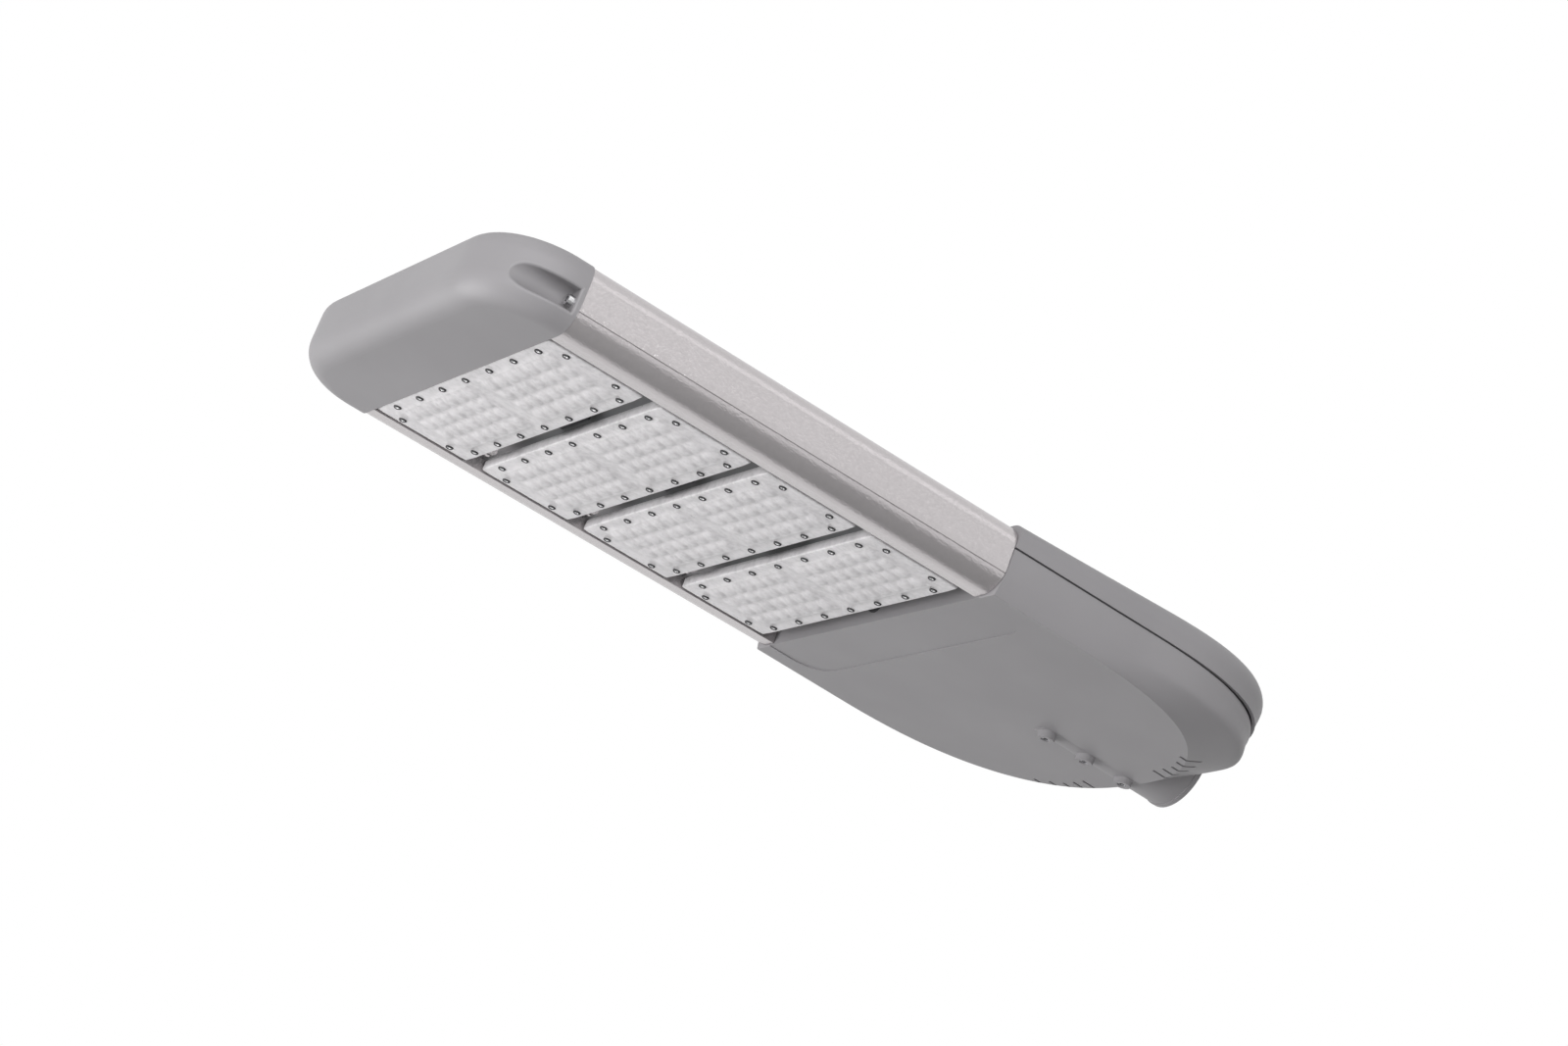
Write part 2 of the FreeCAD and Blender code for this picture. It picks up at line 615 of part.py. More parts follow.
def set_screws():
    """The three hexagon-socket set screws, ends flush with the bore so that the pole slides in."""
    screws = []
    low = FACE - BOSS_DROP + SET_SCREW_SINK
    length = -BORE_RADIUS - SET_SCREW_SHORT - low
    for x in set_screw_places():
        screw = rod(SET_SCREW_RADIUS, length, V(x, 0, low), V(0, 0, 1))
        hexagon = regular(6, SET_SCREW_HEX / 2, SET_SCREW_HEX / 2, V(x, 0, low))
        key = prism(hexagon, V(0, 0, SET_SCREW_HEX_DEPTH))
        screws.append(screw.cut(key))
    return screws


def arc(centre_y, centre_z, radius, start, end):
    """A round stretch of the rail's section, between two angles in degrees."""
    def at(degrees):
        a = math.radians(degrees)
        return V(RAIL_FRONT, centre_y + radius * math.cos(a), centre_z + radius * math.sin(a))
    return Part.Arc(at(start), at((start + end) / 2), at(end)).toShape()


def side_rail():
    """The far rail: an extrusion with a hollow lower chamber, a shelf for the modules and screw ports."""
    w = RAIL_HALF_WIDTH
    t = RAIL_WALL
    low = RAIL_LOWER_RADIUS
    up = RAIL_UPPER_RADIUS
    top = FACE + RAIL_HEIGHT

    def at(y, z):
        return V(RAIL_FRONT, y, z)

    def line(y0, z0, y1, z1):
        return Part.makeLine(at(y0, z0), at(y1, z1))

    edges = [
        line(RAIL_INNER, FACE, w - low, FACE),
        arc(w - low, FACE + low, low, -90, 0),
        line(w, FACE + low, w, top - up),
        arc(w - up, top - up, up, 0, 90),
        line(w - up, top, RAIL_TOP_INNER, top),
        line(RAIL_TOP_INNER, top, RAIL_TOP_INNER, top - t),
        line(RAIL_TOP_INNER, top - t, w - up, top - t),
        arc(w - up, top - up, up - t, 90, 0),
        line(w - t, top - up, w - t, FACE + low),
        arc(w - low, FACE + low, low - t, 0, -90),
        line(w - low, FACE + t, RAIL_INNER, FACE + t),
        line(RAIL_INNER, FACE + t, RAIL_INNER, FACE),
    ]
    length = RAIL_BACK - RAIL_FRONT
    skin = Part.Face(Part.Wire(edges)).extrude(V(length, 0, 0))
    inner = [line(RAIL_TOP_INNER, top, RAIL_INNER, top), line(RAIL_INNER, top, RAIL_INNER, FACE)]
    full = Part.Face(Part.Wire(edges[:5] + inner)).extrude(V(length, 0, 0))
    shelf = FACE + RAIL_SHELF_HEIGHT
    extra = [
        box(RAIL_FRONT, RAIL_BACK, RAIL_INNER, RAIL_INNER + t, FACE, shelf),
        box(RAIL_FRONT, RAIL_BACK, RAIL_INNER, w, shelf - t, shelf).common(full),
    ]
    holes = []
    for y, z in rail_ports():
        extra.append(rod(PORT_OUTER_RADIUS, length, at(y, z), V(1, 0, 0)).common(full))
        holes.append(rod(PORT_RADIUS, length + 2, at(y, z) - V(1, 0, 0), V(1, 0, 0)))
    z = FACE + RAIL_GROOVE_HEIGHT
    y = w - low + math.sqrt(low ** 2 - (low - RAIL_GROOVE_HEIGHT) ** 2) - RAIL_GROOVE_DEPTH
    half = RAIL_GROOVE_WIDTH / 2
    holes.append(box(RAIL_FRONT - 1, RAIL_BACK + 1, y, w + 1, z - half, z + half))
    for i in range(MODULE_COUNT):
        for dx in (-EAR_SCREW_X, EAR_SCREW_X):
            x = FIRST_MODULE + i * MODULE_PITCH + dx
            holes.append(rod(M5_RADIUS, t + 2, V(x, EAR_SCREW_Y, shelf - t - 1), V(0, 0, 1)))
    return skin.fuse(extra).removeSplitter().cut(holes)


def nose_block(inset):
    """The nose's outer form, or with an inset the hollow in it: rounded in plan and along its edges."""
    w = RAIL_HALF_WIDTH + NOSE_PROUD - inset
    low = FACE - NOSE_PROUD + inset
    high = FACE + RAIL_HEIGHT + NOSE_PROUD - inset
    seam = NOSE_SEAM + (1 if inset > 0 else 0)
    tip = NOSE_TIP + inset
    r = NOSE_CORNER_RADIUS - inset
    block = box(tip, seam, -w, w, low, high)
    corners = [e for e in block.Edges
               if e.BoundBox.ZLength > 1 and abs(e.BoundBox.XMin - tip) < 0.01 and e.BoundBox.YLength < 0.01]
    block = block.makeFillet(r, corners)
    lower = [e for e in block.Edges if abs(e.BoundBox.ZMax - low) < 0.01 and e.BoundBox.XMin < seam - 1]
    block = block.makeFillet(NOSE_LOWER_RADIUS + NOSE_PROUD - inset, lower)
    upper = [e for e in block.Edges if abs(e.BoundBox.ZMin - high) < 0.01 and e.BoundBox.XMin < seam - 1]
    return block.makeFillet(RAIL_UPPER_RADIUS + NOSE_PROUD - inset, upper)


def scoop(radius, seam):
    """The U-shaped way in to a nose screw, open to the side and to the front."""
    length = seam - NOSE_TIP + 10
    hollow = rod(radius, length, V(seam - length, PORT_Y, PORT_Z), V(1, 0, 0))
    side = box(seam - length, seam, PORT_Y, PORT_Y + 30, PORT_Z - radius, PORT_Z + radius)
    return hollow.fuse(side)


def shared_edges(shape, skins):
    """The edges of a shape that lie on every one of some skins."""
    found = []
    for edge in shape.Edges:
        span = edge.LastParameter - edge.FirstParameter
        spots = [Part.Vertex(edge.valueAt(edge.FirstParameter + span * k / 4)) for k in range(5)]
        if all(spot.distToShape(skin)[0] < 0.02 for skin in skins for spot in spots):
            found.append(edge)
    return found


def nose_cap():
    """The nose casting: an open shell with a scooped screw recess at each side, its rim rounded."""
    outer = nose_block(0.0)
    ways = [scoop(SCOOP_RADIUS, NOSE_SEAM - SCOOP_END_WALL)]
    ways.append(mirrored(ways[0]))
    body = outer.cut(ways)
    for way in ways:
        body = body.makeFillet(SCOOP_RIM_RADIUS, shared_edges(body, (outer.Shells[0], way.Shells[0])))
    liner = scoop(SCOOP_RADIUS + SCOOP_WALL, NOSE_SEAM)
    hollow = nose_block(NOSE_WALL).cut([liner, mirrored(liner)])
    hole_start = V(NOSE_SEAM - SCOOP_END_WALL - 2, PORT_Y, PORT_Z)
    hole = rod(M5_HOLE_RADIUS, SCOOP_END_WALL + 4, hole_start, V(1, 0, 0))
    return body.cut([hollow, hole, mirrored(hole)])


def module_places():
    """The modules' centres along the lamp, from the nose."""
    return [FIRST_MODULE + i * MODULE_PITCH for i in range(MODULE_COUNT)]


def lens_screw_places(x):
    """The screws round one lens tray: a row along each long edge and a pair at each end."""
    places = []
    for side in (-1, 1):
        for i in range(LENS_SCREW_COLUMNS):
            places.append((x + side * LENS_SCREW_ROW, (i - (LENS_SCREW_COLUMNS - 1) / 2) * LENS_SCREW_PITCH))
        for dx in (-LENS_SCREW_END_X, LENS_SCREW_END_X):
            places.append((x + dx, side * LENS_SCREW_END_Y))
    return places


def dome(x, y):
    """One small lens, drawn as a many-sided dome that hangs from the tray's face."""
    base = regular(DOME_SIDES, DOME_WIDTH / 2, DOME_LENGTH / 2, V(x, y, FACE + 0.2), 0.5)
    tip = regular(DOME_SIDES, DOME_WIDTH / 2 * DOME_TOP_SHARE, DOME_LENGTH / 2 * DOME_TOP_SHARE,
                  V(x, y, FACE - DOME_HEIGHT), 0.5)
    return Part.makeLoft([Part.makePolygon(base + base[:1]), Part.makePolygon(tip + tip[:1])], True, True)


def module_lens(x):
    """A clear lens tray: a plate with a skirt, and two blocks of small lenses over the LEDs."""
    half = MODULE_LENGTH / 2
    w = MODULE_HALF_WIDTH
    tray = box(x - half, x + half, -w, w, FACE, FACE + LENS_SKIRT)
    tray = tray.makeFillet(LENS_CORNER_RADIUS, [e for e in tray.Edges if e.BoundBox.ZLength > 1])
    rim = [e for e in tray.Edges if abs(e.BoundBox.ZMax - FACE) < 0.01]
    tray = tray.makeFillet(LENS_EDGE_RADIUS, rim)
    s = LENS_SKIRT_WALL
    hollow = box(x - half + s, x + half - s, -w + s, w - s, FACE + LENS_PLATE, FACE + LENS_SKIRT + 1)
    bx = BOARD_HALF_LENGTH + BOARD_CLEARANCE
    by = BOARD_HALF_WIDTH + BOARD_CLEARANCE
    pocket = box(x - bx, x + bx, -by, by, FACE + LENS_POCKET_FLOOR, FACE + LENS_SKIRT)
    holes = [prism(regular(6, LENS_SCREW_SHANK + 0.1, LENS_SCREW_SHANK + 0.1, V(px, py, FACE - 1)),
                   V(0, 0, LENS_PLATE + 2)) for px, py in lens_screw_places(x)]
    domes = []
    for row in range(DOME_ROWS):
        for column in range(DOME_COLUMNS):
            for side in (-1, 1):
                dx = (row - (DOME_ROWS - 1) / 2) * DOME_PITCH_X
                domes.append(dome(x + dx, side * (DOME_FIRST_Y + column * DOME_PITCH_Y)))
    return tray.cut([hollow, pocket] + holes).fuse(domes)


def module_gasket(x):
    """The silicone ring between the lens tray and the heat sink."""
    bx = BOARD_HALF_LENGTH + BOARD_CLEARANCE
    by = BOARD_HALF_WIDTH + BOARD_CLEARANCE
    w = GASKET_WIDTH
    low = FACE + LENS_PLATE
    ring = box(x - bx - w, x + bx + w, -by - w, by + w, low, low + GASKET_THICKNESS)
    return ring.cut(box(x - bx, x + bx, -by, by, low - 1, low + 2))


def module_board(x):
    """The LED board, flat against the heat sink."""
    top = FACE + LENS_PLATE + GASKET_THICKNESS
    return box(x - BOARD_HALF_LENGTH, x + BOARD_HALF_LENGTH, -BOARD_HALF_WIDTH, BOARD_HALF_WIDTH,
               top - BOARD_THICKNESS, top)


def module_heatsink(x):
    """A finned heat sink whose ears rest on the rails' shelves."""
    half = MODULE_LENGTH / 2 - LENS_SKIRT_WALL - SINK_CLEARANCE
    w = MODULE_HALF_WIDTH - LENS_SKIRT_WALL - SINK_CLEARANCE
    low = FACE + LENS_PLATE + GASKET_THICKNESS
    base_top = FACE + SINK_BASE_TOP
    base = box(x - half, x + half, -w, w, low, base_top)
    ear = box(x - half, x + half, -EAR_HALF_WIDTH, EAR_HALF_WIDTH, base_top, base_top + EAR_THICKNESS)
    fins = []
    step = (2 * half - SINK_FIN_THICKNESS) / (SINK_FIN_COUNT - 1)
    for i in range(SINK_FIN_COUNT):
        fx = x - half + i * step
        fins.append(box(fx, fx + SINK_FIN_THICKNESS, -SINK_FIN_HALF_WIDTH, SINK_FIN_HALF_WIDTH,
                        base_top + EAR_THICKNESS - 1, FACE + SINK_FIN_TOP))
    holes = []
    for px, py in lens_screw_places(x):
        hexagon = regular(6, LENS_SCREW_SHANK, LENS_SCREW_SHANK, V(px, py, low - 1))
        holes.append(prism(hexagon, V(0, 0, LENS_SCREW_LENGTH)))
    for dx in (-EAR_SCREW_X, EAR_SCREW_X):
        for y in (-EAR_SCREW_Y, EAR_SCREW_Y):
            holes.append(rod(M5_HOLE_RADIUS, EAR_THICKNESS + 2, V(x + dx, y, base_top - 1), V(0, 0, 1)))
    return base.fuse([ear] + fins).removeSplitter().cut(holes)


def module_screws(x):
    """The small screws round a lens tray, one solid each."""
    screws = []
    for px, py in lens_screw_places(x):
        head = prism(regular(6, LENS_SCREW_HEAD, LENS_SCREW_HEAD, V(px, py, FACE - LENS_SCREW_HEAD_HEIGHT)),
                     V(0, 0, LENS_SCREW_HEAD_HEIGHT))
        hexagon = regular(6, LENS_SCREW_SHANK, LENS_SCREW_SHANK, V(px, py, FACE))
        shank = prism(hexagon, V(0, 0, LENS_SCREW_LENGTH))
        screws.append(head.fuse(shank).removeSplitter())
    return screws


def module_connector(x):
    """The black sealed connector on the module's nose side, in the gap before it."""
    face = x - MODULE_LENGTH / 2 + LENS_SKIRT_WALL + SINK_CLEARANCE
    low = FACE + CONNECTOR_BOTTOM + EAR_THICKNESS
    w = CONNECTOR_HALF_WIDTH
    block = box(face - CONNECTOR_DEPTH, face, -w, w, low, low + CONNECTOR_HEIGHT)
    block = block.makeFillet(CONNECTOR_EDGE_RADIUS, [e for e in block.Edges if e.BoundBox.XLength > 1])
    start = V(face - CONNECTOR_DEPTH / 2, w, low + CONNECTOR_HEIGHT / 2)
    neck = rod(CONNECTOR_NECK_RADIUS, CONNECTOR_NECK_LENGTH, start, V(0, 1, 0))
    return block.fuse(neck)


def ear_screws():
    """The screws that fix the modules' ears to the rails' shelves."""
    z = FACE + SINK_BASE_TOP + EAR_THICKNESS
    screws = []
    for x in module_places():
        for dx in (-EAR_SCREW_X, EAR_SCREW_X):
            for y in (-EAR_SCREW_Y, EAR_SCREW_Y):
                screws.append(socket_screw(EAR_SCREW_LENGTH, V(x + dx, y, z), V(0, 0, -1)))
    return screws


def nose_screws():
    """The screw at each side of the nose, in its scoop, into the rail's port."""
    seat = V(NOSE_SEAM - SCOOP_END_WALL, PORT_Y, PORT_Z)
    screw = socket_screw(NOSE_SCREW_LENGTH, seat, V(1, 0, 0))
    return [screw, mirrored(screw)]


def rail_screws():
    """The screws from inside the gear compartment into the rails' ports."""
    screws = []
    for y, z in rail_ports():
        screw = socket_screw(RAIL_SCREW_LENGTH, V(FRONT + PORT_SEAT, y, z), V(-1, 0, 0))
        screws += [screw, mirrored(screw)]
    return screws


def cover_screws():
    """The four screws that hold the cover down on its posts."""
    z = COVER_RIM + COVER_SCREW_SEAT
    return [socket_screw(COVER_SCREW_LENGTH, V(x, y, z), V(0, 0, -1)) for x, y in cover_screw_places()]


def gear_tray():
    """The steel plate that carries the driver."""
    x0 = FRONT + TRAY_FRONT
    z = FACE + TRAY_HEIGHT
    w = TRAY_HALF_WIDTH
    tray = box(x0, x0 + TRAY_LENGTH, -w, w, z, z + TRAY_THICKNESS)
    corners = [e for e in tray.Edges if abs(e.BoundBox.ZLength - TRAY_THICKNESS) < 0.01]
    tray = tray.makeFillet(TRAY_CORNER_RADIUS, corners)
    holes = []
    for x, y in tray_screw_places():
        holes.append(rod(M5_HOLE_RADIUS, TRAY_THICKNESS + 2, V(x, y, z - 1), V(0, 0, 1)))
    return tray.cut(holes)


def tray_screws():
    """The four screws that hold the tray on its posts."""
    z = FACE + TRAY_HEIGHT + TRAY_THICKNESS
    return [socket_screw(TRAY_SCREW_LENGTH, V(x, y, z), V(0, 0, -1)) for x, y in tray_screw_places()]


def led_driver():
    """The driver: a sealed metal case with a fixing foot at each end."""
    x0 = FRONT + TRAY_FRONT + DRIVER_FROM_FRONT
    z = FACE + TRAY_HEIGHT + TRAY_THICKNESS
    w = DRIVER_HALF_WIDTH
    case = box(x0, x0 + DRIVER_LENGTH, -w, w, z, z + DRIVER_HEIGHT)
    case = case.makeFillet(DRIVER_EDGE_RADIUS, [e for e in case.Edges
                                                if e.BoundBox.YLength > 1 and e.BoundBox.ZMin > z + 1])
    wide = w + DRIVER_FLANGE
    foot = box(x0 + DRIVER_FLANGE_INSET, x0 + DRIVER_LENGTH - DRIVER_FLANGE_INSET, -wide, wide,
               z, z + DRIVER_FLANGE_THICKNESS)
    return case.fuse(foot).removeSplitter()


def behind_driver():
    """Where the pieces behind the driver start, along the lamp."""
    return FRONT + TRAY_FRONT + DRIVER_FROM_FRONT + DRIVER_LENGTH + BEHIND_DRIVER


def surge_protector():
    """A potted block beside the terminals that takes up surges."""
    x0 = behind_driver()
    z = FACE + TRAY_HEIGHT + TRAY_THICKNESS
    half = SURGE_WIDTH / 2
    block = box(x0, x0 + SURGE_LENGTH, SURGE_Y - half, SURGE_Y + half, z, z + SURGE_HEIGHT)
    return block.makeFillet(SURGE_EDGE_RADIUS, [e for e in block.Edges if e.BoundBox.ZLength > 1])


def terminal_block():
    """The mains terminals: a block with one stepped way for each wire."""
    x0 = behind_driver()
    z = FACE + TRAY_HEIGHT + TRAY_THICKNESS
    y0 = TERMINAL_Y - TERMINAL_WIDTH / 2
    block = box(x0, x0 + TERMINAL_LENGTH, y0, y0 + TERMINAL_WIDTH, z, z + TERMINAL_HEIGHT)
    way = TERMINAL_WIDTH / TERMINAL_WAYS
    half = way * TERMINAL_WAY_SHARE / 2
    step = z + TERMINAL_HEIGHT * TERMINAL_STEP_SHARE
    cuts = []
    for i in range(TERMINAL_WAYS):
        y = y0 + (i + 0.5) * way
        cuts.append(box(x0 - 1, x0 + TERMINAL_LENGTH + 1, y - half, y + half, step, z + TERMINAL_HEIGHT + 1))
    return block.cut(cuts)


def cable_clamp():
    """The bar that grips the supply cable where it comes out of the pole."""
    x1 = SOCKET_END - SOCKET_END_WALL
    z = FACE + TRAY_HEIGHT
    w = CLAMP_WIDTH / 2
    bar = box(x1 - CLAMP_LENGTH, x1, -w, w, z, z + CLAMP_HEIGHT)
    return bar.cut(rod(CLAMP_CABLE_RADIUS, CLAMP_LENGTH + 2, V(x1 - CLAMP_LENGTH - 1, 0, z), V(1, 0, 0)))


def grommet():
    """The rubber grommet where the module leads enter the gear compartment."""
    z = FACE + GROMMET_HEIGHT
    start = V(FRONT - GROMMET_FLANGE_THICKNESS, 0, z)
    flange = rod(GROMMET_RADIUS + GROMMET_FLANGE, GROMMET_FLANGE_THICKNESS, start, V(1, 0, 0))
    body = rod(GROMMET_RADIUS, HOUSING_WALL + GROMMET_FLANGE_THICKNESS, start, V(1, 0, 0))
    core = rod(GROMMET_CORE, HOUSING_WALL + 10, start - V(1, 0, 0), V(1, 0, 0))
    return flange.fuse(body).cut(core)


def main():
    """Build every node and write its file."""
    os.makedirs("parts", exist_ok=True)
    save("nose_cap", [nose_cap()])
    save("nose_cap_screws", nose_screws())
    rail = side_rail()
    save("side_rail_left", [rail])
    save("side_rail_right", [mirrored(rail)])
    for i, x in enumerate(module_places()):
        number = "_" + str(i + 1)
        save("module_heatsink" + number, [module_heatsink(x)])
        save("module_board" + number, [module_board(x)])
        save("module_gasket" + number, [module_gasket(x)])
        save("module_lens" + number, [module_lens(x)])
        save("module_lens_screws" + number, module_screws(x))
        save("module_connector" + number, [module_connector(x)])
    save("module_ear_screws", ear_screws())
    save("rail_screws", rail_screws())
    save("gear_housing", [gear_housing()])
    save("gear_cover", [gear_cover()])
    save("cover_screws", cover_screws())
    save("pole_set_screws", set_screws())
    save("gear_tray", [gear_tray()])
    save("tray_screws", tray_screws())
    save("led_driver", [led_driver()])
    save("surge_protector", [surge_protector()])
    save("terminal_block", [terminal_block()])
    save("cable_clamp", [cable_clamp()])
    save("lead_grommet", [grommet()])


main()
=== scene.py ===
"""Looks of the LED street light head, built round its CAD model.

Metres, in the part's own frame: the origin is the mouth of the pole socket, -X leads to the nose,
and +Z is up, so the LEDs look down.
"""

import json
import math

import bmesh
import bpy
import numpy as np
from mathutils import Matrix, Vector


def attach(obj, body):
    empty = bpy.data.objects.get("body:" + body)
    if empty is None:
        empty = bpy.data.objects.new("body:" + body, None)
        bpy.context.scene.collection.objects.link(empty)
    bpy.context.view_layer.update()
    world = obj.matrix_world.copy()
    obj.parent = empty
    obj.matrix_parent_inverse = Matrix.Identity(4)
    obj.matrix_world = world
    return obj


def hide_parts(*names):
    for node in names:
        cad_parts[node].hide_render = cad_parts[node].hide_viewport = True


MM = 0.001
JOIN_DISTANCE = 1e-7  # metres

# Camera of the photograph, in metres, degrees and, for the lens and sensor, millimetres
CAMERA_PLACE = (-1.54935, -2.39438, -1.01888)
CAMERA_AZIMUTH = 25.54
CAMERA_ELEVATION = 21.07
CAMERA_ROLL = 21.30
CAMERA_LENS = 86.02
SENSOR_WIDTH = 36.0

# Studio, in metres
FLOOR_HEIGHT = -1.7
FLOOR_SIZE = 4.6
FLOOR_FORWARD = 1.5
FLOOR_COLOUR = (0.62, 0.62, 0.62)
FLOOR_ROUGHNESS = 0.9
AMBIENT = 0.23

# Lamps, all turned to one point: name, place and size in metres, power in watts
LAMP_TARGET = (-0.38, 0.0, 0.0)
LAMPS = (
    ("near_soft_lamp", (-2.0, -2.6, 0.1), (3.2, 2.0), 82),
    ("low_lamp", (-2.1, 0.9, -1.4), (1.6, 1.6), 46),
    ("top_lamp", (-2.0, -0.2, 2.4), (2.2, 2.2), 14),
    ("strip_lamp", (0.85, -2.4, 2.1), (2.4, 0.5), 3.4),
)

# Base colours
PAINT_GREY = (0.300, 0.291, 0.302)
RAIL_SILVER = (0.525, 0.500, 0.506)
SINK_GREY_AND_GAP_SHADE = (0.36, 0.36, 0.37)
# The heat sinks' grey, darkened below bare aluminium as painted shade for the gaps between the lens
# plates
LENS_MILK = (0.80, 0.78, 0.795)
STEEL_DARK = (0.55, 0.55, 0.56)
STEEL_LIGHT = (0.72, 0.72, 0.73)
ZINC_DARK = (0.54, 0.54, 0.56)
ZINC_LIGHT = (0.62, 0.62, 0.63)
BLACK_PLASTIC = (0.018, 0.018, 0.020)
BLACK_SILICONE = (0.030, 0.030, 0.032)
BOARD_WHITE = (0.80, 0.80, 0.77)
DRIVER_GREY = (0.30, 0.30, 0.32)

# Lens plates, in millimetres
FACE = -29.5
MODULES = 4
MODULE_PITCH = 96.3
FIRST_MODULE = -650.2
PLATE_HALF_LENGTH = 41.5
PLATE_HALF_WIDTH = 139.0
PLATE_MARGIN = 6.0
PLATE_CORNER = 3.0
PLATE_EDGE = 1.2
PLATE_EDGE_LOOPS = 6
PLATE_SKIRT = 7.8
PLATE_WALL = 1.0
LENS_ROWS = 4
LENS_COLUMNS = 7
LENS_PITCH_X = 14.6
LENS_PITCH_Y = 15.6
LENS_FIRST_Y = 17.5
LENS_LENGTH = 13.4
LENS_WIDTH = 12.4
LENS_RISE = 1.7
LENS_CELLS = 8
LENS_SQUARENESS = 2.6
LENS_FLATNESS = 3
LENS_FALL = 0.6
VALLEY_DEPTH = 0.3
VALLEY_WIDTH = 0.3
BLOCK_RISE = 0.4
BLOCK_BORDER = 1.0
BLOCK_STEP = 0.3

# Small screws round the lens plates and the black rings under their heads, which paint the shade
# round each head, in millimetres
SCREW_COLUMNS = 7
SCREW_PITCH = 38.0
SCREW_ROW = 35.4
SCREW_END_X = 21.5
SCREW_END_Y = 131.4
SCREW_RADIUS = 2.05
SCREW_HEIGHT = 0.9
SCREW_CROWN = 0.75
SCREW_HEAD_SHARES = (0.0, 0.1, 0.2, 0.3, 0.4, 0.5, 0.6, 0.7, 0.8, 0.88, 0.95, 0.99, 1.0)
SCREW_CROSS_REACH = 1.3
SCREW_CROSS_WIDTH = 0.5
SCREW_CROSS_DEPTH = 0.55
SCREW_CROSS_WALL = 0.25
SCREW_CROSS_RAMP = 0.5
SCREW_SHANK = 1.35
SCREW_LENGTH = 6.4
SCREW_TIP = 0.6
SCREW_SIDES = 24
SCREW_TURN = 2.4  # radians, from one screw to the next
SHADE_RING_RADIUS = 2.4
SHADE_RING_HALF_WIDTH = 0.7
SHADE_RING_HEIGHT = 1.15
SHADE_RING_LOOPS = 7


def new_material(name):
    """A new node material, with its nodes, its links and its shader."""
    material = bpy.data.materials.new(name)
    material.use_nodes = True
    nodes = material.node_tree.nodes
    return material, nodes, material.node_tree.links, nodes["Principled BSDF"]


def object_points(nodes, links, scale=(1, 1, 1)):
    """Object coordinates, stretched by a scale on each axis."""
    place = nodes.new("ShaderNodeTexCoord")
    mapping = nodes.new("ShaderNodeMapping")
    mapping.inputs["Scale"].default_value = scale
    links.new(place.outputs["Object"], mapping.inputs["Vector"])
    return mapping.outputs["Vector"]


def noise(nodes, links, points, scale, detail=3.0, rough=0.5):
    """Noise over the given points."""
    texture = nodes.new("ShaderNodeTexNoise")
    texture.inputs["Scale"].default_value = scale
    texture.inputs["Detail"].default_value = detail
    texture.inputs["Roughness"].default_value = rough
    links.new(points, texture.inputs["Vector"])
    return texture.outputs["Fac"]


def mean(nodes, links, first, second):
    """The mean of two values."""
    half = nodes.new("ShaderNodeMath")
    half.operation = "MULTIPLY"
    half.inputs[1].default_value = 0.5
    links.new(first, half.inputs[0])
    both = nodes.new("ShaderNodeMath")
    both.operation = "MULTIPLY_ADD"
    both.inputs[1].default_value = 0.5
    links.new(second, both.inputs[0])
    links.new(half.outputs["Value"], both.inputs[2])
    return both.outputs["Value"]


def ramp(nodes, links, value, stops):
    """A value turned into a colour by stops of (place, colour)."""
    node = nodes.new("ShaderNodeValToRGB")
    first, last = node.color_ramp.elements
    first.position, first.color = stops[0][0], (*stops[0][1], 1.0)
    last.position, last.color = stops[-1][0], (*stops[-1][1], 1.0)
    for place, colour in stops[1:-1]:
        node.color_ramp.elements.new(place).color = (*colour, 1.0)
    links.new(value, node.inputs["Fac"])
    return node.outputs["Color"]


def spread(nodes, links, value, low, high):
    """A value from 0 to 1 spread between two numbers."""
    node = nodes.new("ShaderNodeMapRange")
    node.inputs["To Min"].default_value = low
    node.inputs["To Max"].default_value = high
    links.new(value, node.inputs["Value"])
    return node.outputs["Result"]


def bump(nodes, links, height, distance, strength, before=None):
    """A bump of a height map, its distance in metres, over the normal of the bump before it."""
    node = nodes.new("ShaderNodeBump")
    node.inputs["Distance"].default_value = distance
    node.inputs["Strength"].default_value = strength
    links.new(height, node.inputs["Height"])
    if before is not None:
        links.new(before, node.inputs["Normal"])
    return node.outputs["Normal"]


def tinted(colour, factor):
    """A colour made lighter or darker."""
    return tuple(min(1.0, c * factor) for c in colour)


def casting_paint():
    """Satin grey paint over a casting: a fine grain, a slow change of tone and soft undulation."""
    material, nodes, links, shader = new_material("casting_paint")
    points = object_points(nodes, links)
    slow = noise(nodes, links, points, scale=9.0, detail=2.0)
    grain = noise(nodes, links, points, scale=1400.0, detail=2.0, rough=0.6)
    tones = [(0.3, tinted(PAINT_GREY, 0.95)), (0.5, PAINT_GREY), (0.7, tinted(PAINT_GREY, 1.05))]
    links.new(ramp(nodes, links, slow, tones), shader.inputs["Base Color"])
    links.new(spread(nodes, links, grain, low=0.42, high=0.56), shader.inputs["Roughness"])
    waves = bump(nodes, links, slow, distance=0.0006, strength=0.25)
    skin = bump(nodes, links, grain, distance=0.00006, strength=0.55, before=waves)
    links.new(skin, shader.inputs["Normal"])
    shader.inputs["Metallic"].default_value = 0.05
    shader.inputs["Specular IOR Level"].default_value = 0.35
    return material


